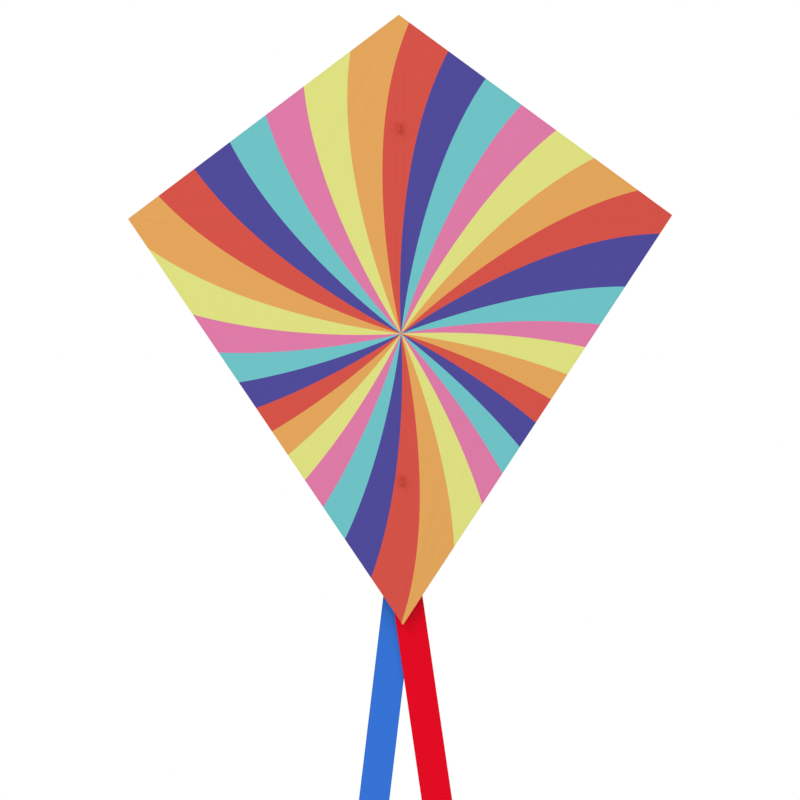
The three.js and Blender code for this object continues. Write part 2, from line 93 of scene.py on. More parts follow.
HEM_WIDTH = 10 * MM
HEM_ROWS = 220
HEM_CROWN = 0.12 * MM  # how far a hem swells between its seams
HEM_GAP = 0.05 * MM  # between a hem's end and the spine tape
TAPE_TRIM = 0.3 * MM  # from the spine tape's ends to the sail's corners
TAPE_CROWN = 0.1 * MM
NOSE_TAPER = 8 * MM  # stretches at the tape's ends that have closer rows
TAIL_TAPER = 14 * MM
TAPE_ROWS = (0, 16, 175, 203)  # the rows at the top, at the two tapers' ends and at the bottom
TAPE_SEAM_ENDS = (NOSE_Z - 20 * MM, TAIL_Z + 22 * MM)
STITCH_INSET = 2 * MM
STITCH_PITCH = 2.6 * MM
STITCH_LENGTH = 1.9 * MM
STITCH_RADIUS = 0.17 * MM
STITCH_RINGS = ((-0.36, 0.8), (0.0, 1.0), (0.36, 0.8))  # shares of its length and its radius
STITCH_CORNERS = ((1, 0), (0, 1), (-1, 0), (0, -1))

# ---- Patch, pockets and tabs ----

PATCH_STEPS = 41
PATCH_ROUND = 0.10  # how far the patch's corners are rounded
PATCH_SEAM = 0.86  # share of the half width at which the patch is sewn down
PATCH_GROOVE = 0.12 * MM
SHELL = 0.8 * MM
SHELL_COLUMNS = 57
SHELL_ROWS = 73
FLANGE_WIDTH = 1.8 * MM
GATHER = 0.25 * MM
MOUTH_LIP = 0.3 * MM
MOUTH_REACH = 1.6 * MM
SEAM_END = 1.2 * MM
TIP_SEAM_END = 2.5 * MM
CAP_CLEARANCE = 0.5 * MM
WING_POCKET_TAPER = 16 * MM
TAB_TIP_RADIUS = 5.7 * MM
TAB_HOLE_RADIUS = 3.2 * MM
TAB_HALF_THICKNESS = 0.7 * MM
TAB_SEAM_INSET = 1.3 * MM

# ---- Rods, vinyl and mouldings ----

ROD_BEVEL = 0.4 * MM
VINYL_GAP = 0.25 * MM  # between a vinyl piece's bore and its rod
SLEEVE_LIP = 2.2 * MM
SLEEVE_LIP_RISE = 0.25 * MM
SLEEVE_STEPS = 60
STOP_BEVEL = 0.8 * MM
HUB_PLATE_X = 15 * MM
HUB_PLATE_CORNER = 5 * MM
HUB_VOXEL = 0.3 * MM
BARREL_RADIUS = 5.45 * MM
COLLAR_LENGTH = 1.6 * MM
COLLAR_BEVEL = 0.3 * MM
GROOVE_INSET = 3.2 * MM
GROOVE_WIDTH = 1.6 * MM
GROOVE_DEPTH = 0.6 * MM
CLIP_VOXEL = 0.22 * MM
CAP_BORE = 2.7 * MM
CAP_BORE_DEPTH = 2.3 * MM
CAP_BORE_BEVEL = 0.15 * MM

# ---- The printed swirl ----

SWIRL_X = 0.2 * MM
SWIRL_Z = -145.8 * MM
SWIRL_RADIUS = 375 * MM
RAYS = 36
RAY_STEP = 360 / RAYS
FIRST_RAY = -2.92  # degrees clockwise from up, at the centre
TWIST = (13.549, -6.884, 7.208)  # degrees, by powers of the distance from the centre
SWIRL_STRETCH = 1.013
# Degrees that these boundaries lie off at the centre, and what that gains further out
UNEVEN_RAYS = {6: (-1.3, 1.6), 7: (1.6, 0.0), 8: (3.3, 0.0)}

# ---- Colours, as 0-255 screen colours, and finishes ----

INDIGO = (79, 75, 152)
TEAL = (110, 193, 197)
PINK = (220, 122, 166)
YELLOW = (220, 222, 128)
ORANGE = (225, 164, 91)
RED = (211, 83, 72)
RAY_COLOURS = (INDIGO, TEAL, PINK, YELLOW, ORANGE, RED)
BLUE_RIBBON = (55, 116, 215)
RED_RIBBON = (228, 0, 36)
TAPE_GREY = (52, 52, 58)
WEBBING_GREY = (40, 40, 44)
THREAD_GREY = (96, 96, 104)
ROD_BLACK = (34, 34, 37)
VINYL_GREY = (66, 66, 71)
PLASTIC_GREY = (44, 45, 49)
BRASS = (222, 178, 92)
STUDIO_LIGHT = 1.05  # light on an upright face, where 1 would show a white one as white
CLOTH_GLOSS = 0.004  # light that cloth throws back whatever its colour
CLOTH_SPECULAR = 0.05
SEWN_SPECULAR = 0.3
COARSE_SHARE = 0.7  # of the cloth's relief that its thicker threads make
WEAVE_PITCH = 0.5 * MM
RIPSTOP_PITCH = 5 * MM
RIPSTOP_CREST = 0.97
RIB_PITCH = 0.8 * MM
SELVEDGE = 1.2 * MM
TAPE_RIB = 0.9 * MM
WEBBING_RIB = 1.6 * MM

# ---- Ribbons ----

RIBBON_WIDTH = 38 * MM
RIBBON_LENGTH = 915 * MM
RIBBON_ABOVE_PIVOT = 14 * MM
RIBBON_END = RIBBON_LENGTH - RIBBON_ABOVE_PIVOT  # distances along a ribbon start at the pivot
RIBBON_THICKNESS = 0.5 * MM
RIBBON_WAVE = 12 * MM
RIBBON_WAVELENGTH = 430 * MM
RIBBON_FLAT = 100 * MM
RIBBON_CURL = 0.6 * MM
RIBBON_LEAN = {"blue": 7.2 * DEGREE, "red": -7.9 * DEGREE}
TOP_HEM_END = 12 * MM
END_HEM_START = RIBBON_END - 12 * MM
HEM_STEP = 0.5 * MM  # over which the ribbon thickens into a hem
RIBBON_ROWS = (0, 12, 14, 304, 306, 312)  # the rows at its ends, and where each hem's step starts and ends
RIBBON_SEAM = 1.5 * MM  # from the seams to the hem's edge, and to the ribbon's edges
EYELET_HOLE_RADIUS = 4 * MM
EYELET_BORE = 2.65 * MM
EYELET_BARREL = 3.7 * MM
EYELET_FLANGE = 0.4 * MM
PUNCH_REACH = 2 * MM

# ---- Stage ----

PICTURE_WIDTH = 0.9988  # metres that the picture spans at the sail
LENS = 100
SENSOR = 36
CAMERA_X = -1.7 * MM
CAMERA_Z = -228.5 * MM
CAMERA_ROLL = 0.386 * DEGREE
KEY_LIGHT = (-1.6, -2.2, 1.6)
RIM_LIGHT = (1.8, 2.4, 1.2)
LIGHT_SIZE = 1.6
LIGHT_WATTS = 14
FLOOR_RADIUS = 3
FLOOR_SIDES = 96
FLOOR_DROP = 25 * MM
FLOOR_COLOUR = (0.86, 0.86, 0.85, 1)


# ---- Camera, floor and light ----

def new_object(name, data):
    """An object in the scene that shows this data."""
    made = bpy.data.objects.new(name, data)
    bpy.context.scene.collection.objects.link(made)
    return made


def add_camera():
    """A camera straight in front of the sail, with a slight roll."""
    data = bpy.data.cameras.new("camera")
    data.lens = LENS
    data.sensor_width = SENSOR
    camera = new_object("camera", data)
    distance = PICTURE_WIDTH * LENS / SENSOR
    camera.location = (CAMERA_X, SAIL_FRONT - distance, CAMERA_Z)
    camera.rotation_euler = (math.pi / 2, CAMERA_ROLL, 0)
    bpy.context.scene.camera = camera


def add_area_light(name, place, target):
    """A round soft light that faces the target."""
    data = bpy.data.lights.new(name, "AREA")
    data.shape = "DISK"
    data.size = LIGHT_SIZE
    data.energy = LIGHT_WATTS
    light = new_object(name, data)
    light.location = place
    light.rotation_euler = (Vector(target) - Vector(place)).to_track_quat("-Z", "Y").to_euler()


def add_lights():
    """A white studio all round, with one soft light in front and one behind."""
    world = bpy.data.worlds.new("studio")
    world.use_nodes = True
    background = world.node_tree.nodes["Background"]
    background.inputs["Color"].default_value = (1, 1, 1, 1)
    background.inputs["Strength"].default_value = 1.0
    bpy.context.scene.world = world
    middle = (0, 0, (NOSE_Z + TAIL_Z) / 2)
    add_area_light("key", KEY_LIGHT, middle)
    add_area_light("rim", RIM_LIGHT, middle)
    view = bpy.context.scene.view_settings
    view.view_transform = "Standard"
    view.look = "None"


def add_floor():
    """A pale round floor, a little below the ribbons' ends."""
    mesh = bpy.data.meshes.new("floor")
    shape = bmesh.new()
    bmesh.ops.create_circle(shape, cap_ends=True, segments=FLOOR_SIDES, radius=FLOOR_RADIUS)
    shape.to_mesh(mesh)
    shape.free()
    floor = new_object("floor", mesh)
    floor.location = (0, 0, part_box("blue_ribbon_lower")[0].z - FLOOR_DROP)
    paint = Shader("floor_paint")
    paint.surface(FLOOR_COLOUR, roughness=0.75)
    mesh.materials.append(paint.material)


# ---- Shader helper ----

def channel(value):
    """One channel of a 0-255 screen colour as a linear one."""
    value /= 255
    return value / 12.92 if value <= 0.04045 else ((value + 0.055) / 1.055) ** 2.4


def linear(colour):
    """A 0-255 screen colour as a linear one."""
    return tuple(channel(value) for value in colour) + (1.0,)


def dyed(colour):
    """The cloth's own colour that shows as this screen colour under the studio's light."""
    return tuple(max(channel(value) - CLOTH_GLOSS, 0) / STUDIO_LIGHT for value in colour) + (1.0,)


class Shader:
    """A material whose nodes are added one call at a time."""

    def __init__(self, name):
        self.material = bpy.data.materials.new(name)
        self.material.use_nodes = True
        self.nodes = self.material.node_tree.nodes
        self.links = self.material.node_tree.links
        self.principled = self.nodes["Principled BSDF"]

    def feed(self, socket, value):
        """Links a node's output to the socket, or sets a plain value on it."""
        if isinstance(value, bpy.types.NodeSocket):
            self.links.new(value, socket)
        else:
            socket.default_value = value

    def math(self, operation, *values):
        node = self.nodes.new("ShaderNodeMath")
        node.operation = operation
        for socket, value in zip(node.inputs, values):
            self.feed(socket, value)
        return node.outputs[0]

    def rest_uv(self):
        """x and z on the flat cloth, in metres, which stay put when the piece bends."""
        uv = self.nodes.new("ShaderNodeUVMap")
        uv.uv_map = "rest"
        split = self.nodes.new("ShaderNodeSeparateXYZ")
        self.links.new(uv.outputs["UV"], split.inputs[0])
        return split.outputs["X"], split.outputs["Y"]

    def noise(self, scale, detail, stretch=(1, 1, 1)):
        """Noise over the piece's own space, from 0 to 1."""
        place = self.nodes.new("ShaderNodeTexCoord").outputs["Object"]
        mapping = self.nodes.new("ShaderNodeMapping")
        mapping.inputs["Scale"].default_value = stretch
        self.links.new(place, mapping.inputs["Vector"])
        node = self.nodes.new("ShaderNodeTexNoise")
        node.inputs["Scale"].default_value = scale
        node.inputs["Detail"].default_value = detail
        self.links.new(mapping.outputs["Vector"], node.inputs["Vector"])
        return node.outputs["Fac"]

    def wave(self, coordinate, period):
        """A sine of the coordinate, from 0 to 1."""
        turns = self.math("MULTIPLY", coordinate, 2 * math.pi / period)
        return self.math("MULTIPLY_ADD", self.math("SINE", turns), 0.5, 0.5)

    def spread(self, value, low, high):
        """value, from 0 to 1, as a number from low to high."""
        return self.math("MULTIPLY_ADD", value, high - low, low)

    def relief(self, coarse, fine):
        """The height of a cloth that has coarse threads over a fine weave."""
        return self.math("MULTIPLY_ADD", coarse, COARSE_SHARE, self.math("MULTIPLY", fine, 1 - COARSE_SHARE))

    def shade(self, colour, amount):
        """colour times amount, where amount is a number that varies over the surface."""
        node = self.nodes.new("ShaderNodeVectorMath")
        node.operation = "SCALE"
        self.feed(node.inputs[0], colour if isinstance(colour, bpy.types.NodeSocket) else colour[:3])
        self.feed(node.inputs["Scale"], amount)
        return node.outputs[0]

    def bump(self, height, distance, strength):
        node = self.nodes.new("ShaderNodeBump")
        node.inputs["Strength"].default_value = strength
        node.inputs["Distance"].default_value = distance
        self.links.new(height, node.inputs["Height"])
        self.links.new(node.outputs["Normal"], self.principled.inputs["Normal"])

    def surface(self, colour, roughness, metallic=0.0, specular=0.5):
        self.feed(self.principled.inputs["Base Color"], colour)
        self.feed(self.principled.inputs["Roughness"], roughness)
        self.principled.inputs["Metallic"].default_value = metallic
        self.principled.inputs["Specular IOR Level"].default_value = specular


# ---- Materials ----

def swirl_colour(shader):
    """The printed rays: which of six colours lies at a point of the flat sail."""
    calc = shader.math
    x, z = shader.rest_uv()
    x = calc("SUBTRACT", x, SWIRL_X)
    rise = calc("SUBTRACT", z, SWIRL_Z)
    squares = calc("ADD", calc("POWER", x, 2.0), calc("POWER", rise, 2.0))
    share = calc("DIVIDE", calc("SQRT", squares), SWIRL_RADIUS)
    twist = 0.0
    for factor in reversed(TWIST):
        twist = calc("MULTIPLY", calc("ADD", twist, factor), share)
    angle = calc("ARCTAN2", calc("MULTIPLY", x, SWIRL_STRETCH), rise)
    turned = calc("MULTIPLY_ADD", angle, 1 / DEGREE, -FIRST_RAY)
    even = calc("DIVIDE", calc("SUBTRACT", turned, twist), RAY_STEP)
    even = calc("WRAP", even, float(RAYS), 0.0)
    ray = even
    further = calc("MULTIPLY", share, share)
    for boundary, (offset, gain) in UNEVEN_RAYS.items():
        away = calc("ABSOLUTE", calc("SUBTRACT", even, float(boundary)))
        nearness = calc("MAXIMUM", calc("SUBTRACT", 1.0, away), 0.0)
        shift = calc("MULTIPLY_ADD", further, -gain / RAY_STEP, -offset / RAY_STEP)
        ray = calc("MULTIPLY_ADD", nearness, shift, ray)
    cycle = calc("FRACT", calc("DIVIDE", ray, float(len(RAY_COLOURS))))
    ramp = shader.nodes.new("ShaderNodeValToRGB")
    ramp.color_ramp.interpolation = "CONSTANT"
    while len(ramp.color_ramp.elements) < len(RAY_COLOURS):
        ramp.color_ramp.elements.new(0.5)
    for index, colour in enumerate(RAY_COLOURS):
        ramp.color_ramp.elements[index].position = index / len(RAY_COLOURS)
        ramp.color_ramp.elements[index].color = dyed(colour)
    shader.links.new(cycle, ramp.inputs["Fac"])
    return ramp.outputs["Color"]


def ripstop_height(shader):
    """Plain weave with a thicker thread every few millimetres each way, from 0 to 1."""
    x, z = shader.rest_uv()
    weave = shader.math("MULTIPLY", shader.wave(x, WEAVE_PITCH), shader.wave(z, WEAVE_PITCH))
    thick_x = shader.math("GREATER_THAN", shader.wave(x, RIPSTOP_PITCH), RIPSTOP_CREST)
    thick_z = shader.math("GREATER_THAN", shader.wave(z, RIPSTOP_PITCH), RIPSTOP_CREST)
    return shader.relief(shader.math("MAXIMUM", thick_x, thick_z), weave)


def sail_cloth():
    """Thin printed ripstop, a touch darker and smoother where its threads stand up."""
    shader = Shader("sail_cloth")
    height = ripstop_height(shader)
    colour = shader.shade(swirl_colour(shader), shader.spread(height, 1.0, 0.975))
    shader.surface(colour, shader.spread(height, 0.62, 0.5), specular=CLOTH_SPECULAR)
    shader.bump(height, distance=0.04 * MM, strength=0.5)
    return shader.material


def ribbon_cloth(name, colour):
    """Fine taffeta ribbon: cross ribs, with a denser selvedge along each edge."""
    shader = Shader(name)
    across, along = shader.rest_uv()
    height = shader.relief(shader.wave(along, RIB_PITCH), shader.wave(across, WEAVE_PITCH))
    edge = shader.math("GREATER_THAN", shader.math("ABSOLUTE", across), RIBBON_WIDTH / 2 - SELVEDGE)
    streaks = shader.noise(scale=60.0, detail=2.0, stretch=(4.0, 4.0, 0.4))
    tone = shader.math("MULTIPLY", shader.spread(height, 1.0, 0.97), shader.spread(edge, 1.0, 0.93))
    tone = shader.math("MULTIPLY", tone, shader.spread(streaks, 0.98, 1.02))
    colour = shader.shade(dyed(colour), tone)
    shader.surface(colour, shader.spread(height, 0.5, 0.38), specular=CLOTH_SPECULAR)
    shader.bump(height, distance=0.06 * MM, strength=0.5)
    return shader.material


def tape_cloth(name, colour, rib):
    """Twilled tape or webbing, worn in patches, with painted shade in the twill's hollows and a painted
    highlight on its crests.
    """
    shader = Shader(name)
    x, z = shader.rest_uv()
    weft = shader.wave(shader.math("ADD", x, z), rib)
    warp = shader.wave(shader.math("SUBTRACT", x, z), rib)
    height = shader.math("MULTIPLY", weft, warp)
    wear = shader.noise(scale=40.0, detail=5.0)
    # Painted shade and highlight: the colour is darker in the weave's hollows and lighter on its crests, and
    # it also varies in patches of wear.
    tone = shader.math("MULTIPLY", shader.spread(height, 0.7, 1.25), shader.spread(wear, 0.8, 1.2))
    colour = shader.shade(linear(colour), tone)
    shader.surface(colour, shader.spread(height, 0.85, 0.65), specular=SEWN_SPECULAR)
    shader.principled.inputs["Sheen Weight"].default_value = 0.15
    shader.bump(height, distance=0.2 * MM, strength=0.7)
    return shader.material


def mottled(name, colour, patches, tones, roughness, grain=None, **finish):
    """A material whose colour and roughness follow one noise, and its relief another.

    patches: that noise's scale and detail. grain: the other's, its depth in mm and its strength.
    """
    shader = Shader(name)
    noise = shader.noise(*patches)
    tone = shader.spread(noise, *tones)
    shader.surface(shader.shade(linear(colour), tone), shader.spread(noise, *roughness), **finish)
    if grain:
        scale, detail, depth, strength = grain
        shader.bump(shader.noise(scale, detail), depth * MM, strength)
    return shader.material


def thread():
    """Grey twisted sewing thread."""
    return mottled("thread", THREAD_GREY, (900, 2), (0.75, 1.2), (0.6, 0.6), specular=SEWN_SPECULAR)


def fibreglass():
    """Pultruded rod: black resin with a fine grain, a thin coat and light scuffs."""
    shader = Shader("fibreglass_rod")
    scuffs = shader.noise(scale=220.0, detail=6.0)
    grain = shader.noise(scale=1200.0, detail=3.0)
    tone = shader.math("MULTIPLY", shader.spread(grain, 0.75, 1.3), shader.spread(scuffs, 0.85, 1.2))
    shader.surface(shader.shade(linear(ROD_BLACK), tone), shader.spread(scuffs, 0.22, 0.42))
    shader.principled.inputs["Coat Weight"].default_value = 0.2
    shader.bump(grain, distance=0.05 * MM, strength=0.3)
    return shader.material


def vinyl():
    """Soft dark vinyl, dull where dust has settled."""
    return mottled("vinyl", VINYL_GREY, (160, 5), (0.85, 1.18), (0.35, 0.55), (700, 3, 0.03, 0.4))


def moulded_plastic():
    """Fine spark-eroded texture, a little shinier where it has been handled."""
    grain = (1800, 3, 0.05, 0.6)
    return mottled("moulded_plastic", PLASTIC_GREY, (60, 4), (0.85, 1.2), (0.42, 0.62), grain)


def brass():
    """Yellow brass, duller and rougher where it has tarnished."""
    return mottled("brass", BRASS, (300, 5), (0.8, 1.08), (0.18, 0.4), (300, 5, 0.03, 0.3), metallic=1.0)


# ---- Mesh helpers ----

def settle(piece, body, slot, *nodes):
    """Hangs a piece on the empty of the body that carries it, and hides the CAD nodes it stands for. slot is
    not used.
    """
    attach(piece, body)
    if nodes:
        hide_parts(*nodes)


def smoothstep(low, high, value):
    """0 up to low, 1 from high on, and a smooth rise between them."""
    share = np.clip((value - low) / (high - low), 0, 1)
    return share * share * (3 - 2 * share)


def add_mesh(name, vertices, faces, material, uv=None, sharp=40):
    """A closed mesh with its faces turned outwards, smooth but for edges sharper than sharp degrees."""
    mesh = bpy.data.meshes.new(name)
    mesh.from_pydata([tuple(map(float, vertex)) for vertex in vertices], [], faces)
    shape = bmesh.new()
    shape.from_mesh(mesh)
    bmesh.ops.recalc_face_normals(shape, faces=shape.faces)
    shape.to_mesh(mesh)
    shape.free()
    if uv is not None:
        layer = mesh.uv_layers.new(name="rest")
        corners = np.empty(len(mesh.loops), int)
        mesh.loops.foreach_get("vertex_index", corners)
        layer.data.foreach_set("uv", np.asarray(uv, np.float32)[corners].ravel())
    mesh.shade_smooth()
    mesh.set_sharp_from_angle(angle=sharp * DEGREE)
    mesh.materials.append(material)
    return new_object(name, mesh)


def upright_sheet(name, x, z, front, back, material, uv=None):
    """Cloth over a grid of x and z: layers at depths front and back, joined all round the rim."""
    index = np.arange(x.size).reshape(x.shape)
    quads = np.stack([index[:-1, :-1], index[:-1, 1:], index[1:, 1:], index[1:, :-1]], -1).reshape(-1, 4)
    rim = np.concatenate([index[0, :], index[1:, -1], index[-1, -2::-1], index[-2:0:-1, 0]])
    after = np.roll(rim, -1)
    walls = np.stack([rim, rim + x.size, after + x.size, after], -1)
    faces = np.concatenate([quads, quads[:, ::-1] + x.size, walls]).tolist()
    layers = [np.stack([x, np.broadcast_to(depth, x.shape), z], -1) for depth in (front, back)]
    flat = (np.stack([x, z], -1) if uv is None else uv).reshape(-1, 2)
    vertices = np.concatenate(layers).reshape(-1, 3)
    return add_mesh(name, vertices, faces, material, np.concatenate([flat, flat]))


def ring_faces(rings, closed):
    """Faces between neighbouring rings of vertex numbers, and between the last and the first if closed."""
    pairs = list(zip(rings, rings[1:] + rings[:1]))
    faces = []
    for low, high in pairs if closed else pairs[:-1]:
        for step in range(len(low)):
            after = (step + 1) % len(low)
            face = list(dict.fromkeys([low[step], low[after], high[after], high[step]]))
            if len(face) > 2:
                faces.append(face)
    return faces


def revolve(name, profile, material, steps, along, place):
    """Turns a profile of (radius, height) about an axis from place. Points on the axis are shared."""
    vertices, rings = [], []
    for radius, height in profile:
        count = 1 if radius < TINY else steps
        rings.append([len(vertices) + step % count for step in range(steps)])
        for step in range(count):
            turn = 2 * math.pi * step / steps
            vertices.append((radius * math.cos(turn), radius * math.sin(turn), height))
    piece = add_mesh(name, vertices, ring_faces(rings, closed=profile[0][0] >= TINY), material)
    turn = Vector((0, 0, 1)).rotation_difference(Vector(along)).to_matrix().to_4x4()
    piece.data.transform(Matrix.Translation(place) @ turn)
    return piece


def rounded_ring(inner, outer, length, bevel):
    """The profile of a ring with rounded outer edges."""
    steps = 5
    profile = [(inner, 0)]
    for step in range(steps + 1):
        angle = math.pi / 2 * step / steps
        profile.append((outer - bevel + bevel * math.sin(angle), bevel - bevel * math.cos(angle)))
    return profile + [(radius, length - height) for radius, height in reversed(profile)]


def thread_loop(middle, along, out):
    """One stitch's points: rings of four, then its two sunken ends."""
    side = np.cross(along, out)
    points = []
    for share, width in STITCH_RINGS:
        for across, up in STITCH_CORNERS:
            offset = (side * across + out * up) * width * STITCH_RADIUS
            points.append(middle + along * share * STITCH_LENGTH + offset)
    return points + [middle - along * STITCH_LENGTH / 2, middle + along * STITCH_LENGTH / 2]


def thread_loop_faces(base):
    """The faces of one stitch whose points start at base."""
    count = len(STITCH_CORNERS)
    tip = base + count * len(STITCH_RINGS)
    rings = [list(range(start, start + count)) for start in range(base, tip, count)]
    return ring_faces([[tip] * count, *rings, [tip + 1] * count], closed=False)


def stitches(name, lines, material, out, uv=False):
    """Rows of sunken thread loops along lines of points. out is the cloth's outward normal."""
    out = np.array(out, float)
    probe = 0.5 * MM
    vertices, faces = [], []
    for line in lines:
        points = np.array(line, float)
        reach = np.concatenate([[0], np.cumsum(np.linalg.norm(np.diff(points, axis=0), axis=1))])
        for start in np.arange(STITCH_PITCH / 2, reach[-1], STITCH_PITCH):
            near = np.array([start - probe, start, start + probe])
            track = [np.interp(near, reach, points[:, axis]) for axis in range(3)]
            behind, middle, ahead = np.stack(track, -1)
            along = (ahead - behind) / max(np.linalg.norm(ahead - behind), TINY)
            faces += thread_loop_faces(len(vertices))
            vertices += thread_loop(middle, along, out)
    flat = [(vertex[0], vertex[2]) for vertex in vertices] if uv else None
    return add_mesh(name, vertices, faces, material, flat, sharp=80)


# ---- The sail's surface ----

def corner_wrinkles(x, z, corner, first, last, reach):
    """Faint creases that fan out of a corner between two directions and die away with distance."""
    dx, dz = np.abs(x) - corner[0], z - corner[1]
    distance = np.hypot(dx, dz) + TINY
    angle = np.arctan2(dz, dx) - (first + last) / 2
    angle = (angle + math.pi) % (2 * math.pi) - math.pi
    share = np.clip(angle / (last - first) + 0.5, 0, 1)
    fan = np.sin(share * math.pi * CREASES) * np.sin(share * math.pi) ** 2
    return fan * (distance / reach) * np.exp(1 - distance / reach) * WRINKLE


def sail_offset(x, z):
    """How far back the taut sail stands from its flat plane."""
    at_tip = np.abs(x) / WING_X
    at_nose = (z - TAIL_Z * (1 - at_tip)) / (NOSE_Z - TAIL_Z)
    at_tail = 1 - at_tip - at_nose
    bubble = at_tip**2 * np.clip(at_nose, 0, 1) * np.clip(at_tail, 0, 1)
    bubble_peak = 0.5**2 * 0.25 * 0.25
    leading = math.atan2(NOSE_Z, WING_X)
    trailing = math.atan2(-TAIL_Z, WING_X)
    creases = corner_wrinkles(x, z, (WING_X, 0), math.pi - leading, math.pi + trailing, TIP_CREASE)
    creases += corner_wrinkles(x, z, (0, NOSE_Z), -math.pi / 2, -leading, NOSE_CREASE)
    creases += corner_wrinkles(x, z, (0, TAIL_Z), trailing, math.pi / 2, TAIL_CREASE)
    return bubble / bubble_peak * BILLOW + creases


def settle_on_fold(piece, side_name, slot, *nodes):
    """For a piece that lies across a wing's fold line, where the soft sleeve holds no rod: bakes its
    placement into its mesh and hides the CAD nodes it stands for.
    """
    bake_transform(piece)
    if nodes:
        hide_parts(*nodes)


def sail_grid(side):
    """x and z over one half of the sail, from the spine to the wing tip, a little blunt."""
    columns = (0, SAIL_COLUMNS // 3, SAIL_COLUMNS - 1)
    shares = np.interp(range(SAIL_COLUMNS), columns, (0, NEAR_SHARE, TIP_SHARE))
    z = np.linspace(NOSE_Z * (1 - shares), TAIL_Z * (1 - shares), SAIL_ROWS)
    return np.broadcast_to(side * WING_X * shares, z.shape), z


def add_sail(cloth):
    """Each half of the sail is one sheet from the spine to the wing tip."""
    for name, side in SIDES.items():
        x, z = sail_grid(side)
        offset = sail_offset(x, z)
        sail = upright_sheet(f"{name}_sail", x, z, SAIL_FRONT + offset, SAIL_BACK + offset, cloth)
        centre = ["sail_centre_panel"] if name == "left" else []
        settle_on_fold(sail, name, "sail_cloth", f"{name}_sail_panel", *centre)


def hem_grid(side, outer_a, outer_b, inner_a, inner_b, columns):
    """x and z over a strip between an edge and a line inside it."""
    outer = np.linspace(outer_a, outer_b, HEM_ROWS)
    inner = np.linspace(inner_a, inner_b, HEM_ROWS)
    points = np.linspace(outer, inner, columns, axis=1)
    return side * points[..., 0], points[..., 1]


def hem_corners():
    """The hems' corner points for the right half: each edge, and the line HEM_WIDTH inside it."""
    start = (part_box("spine_tape")[1].x + HEM_GAP) / WING_X
    # Where x is a share of the half width, the inner line stands at end * (inner - share)
    ends = {"leading": NOSE_Z, "trailing": TAIL_Z}
    inner = {edge: 1 - HEM_WIDTH * math.hypot(end, WING_X) / abs(end * WING_X) for edge, end in ends.items()}
    meet = (NOSE_Z * inner["leading"] - TAIL_Z * inner["trailing"]) / (NOSE_Z - TAIL_Z)
    corners = {}
    for edge, end in ends.items():
        points = ((start, 1), (1, 1), (start, inner[edge]), (meet, inner[edge]))
        corners[edge] = [np.array([WING_X * share, end * (level - share)]) for share, level in points]
    return corners


def add_hems(tape, yarn, cloth):
    """A tape along each edge, on the back of the sail, and its stitching."""
    hidden = {"leading": "nose", "trailing": "tail"}
    crown = np.array([1, 0, -1, 0, 1]) * HEM_CROWN
    for name, side in SIDES.items():
        for edge, corners in hem_corners().items():
            x, z = hem_grid(side, *corners, len(crown))
            offset = sail_offset(x, z)
            back = TAPE_BACK + offset - crown
            hem = upright_sheet(f"{name}_{edge}_hem_tape", x, z, TAPE_FRONT + offset, back, tape)
            settle_on_fold(hem, name, "hem_tape", f"{name}_{edge}_hem", f"{name}_{hidden[edge]}_hem")
            add_hem_stitches(name, edge, x, z, yarn, cloth)


def add_hem_stitches(name, edge, x, z, yarn, cloth):
    """Two rows through each hem: thread on the back, and printed over on the front."""
    back, front = [], []
    for share in (STITCH_INSET / HEM_WIDTH, 1 - STITCH_INSET / HEM_WIDTH):
        row_x = x[:, 0] + (x[:, -1] - x[:, 0]) * share
        row_z = z[:, 0] + (z[:, -1] - z[:, 0]) * share
        offset = sail_offset(row_x, row_z)
        back.append(np.stack([row_x, TAPE_BACK + offset, row_z], -1))
        front.append(np.stack([row_x, SAIL_FRONT + offset, row_z], -1))
    on_tape = stitches(f"{name}_{edge}_hem_thread", back, yarn, (0, 1, 0))
    on_print = stitches(f"{name}_{edge}_front_thread", front, cloth, (0, -1, 0), uv=True)
    settle_on_fold(on_tape, name, "hem_tape")
    settle_on_fold(on_print, name, "sail_cloth")


# ---- Tape, patch, pockets and tabs ----

def add_spine_tape(tape, yarn, cloth):
    """The tape from the nose to the tail, trimmed to the sail's edges, and its stitching."""
    low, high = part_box("spine_tape")
    top, bottom = NOSE_Z - TAPE_TRIM, TAIL_Z + TAPE_TRIM
    stops = (top, top - NOSE_TAPER, bottom + TAIL_TAPER, bottom)
    heights = np.interp(range(TAPE_ROWS[-1] + 1), TAPE_ROWS, stops)
    share, z = np.meshgrid(np.linspace(-1, 1, 9), heights)
    half = np.minimum(high.x, WING_X * np.minimum(1 - z / NOSE_Z, 1 - z / TAIL_Z) - TAPE_TRIM / 3)
    crown = TAPE_CROWN * np.cos(share * math.pi * 1.5) ** 2
    piece = upright_sheet("spine_seam_tape", share * half, z, low.y, high.y - crown, tape)
    settle(piece, "frame", "hem_tape", "spine_tape")
    inset = high.x - STITCH_INSET
    for label, depth, out, material, slot in (
        ("tape", high.y, 1, yarn, "hem_tape"),
        ("front", SAIL_FRONT, -1, cloth, "sail_cloth"),
    ):
        rows = [[(side * inset, depth, end) for end in TAPE_SEAM_ENDS] for side in (-1, 1)]
        piece = stitches(f"spine_{label}_thread", rows, material, (0, out, 0), uv=label == "front")
        settle(piece, "frame", slot)


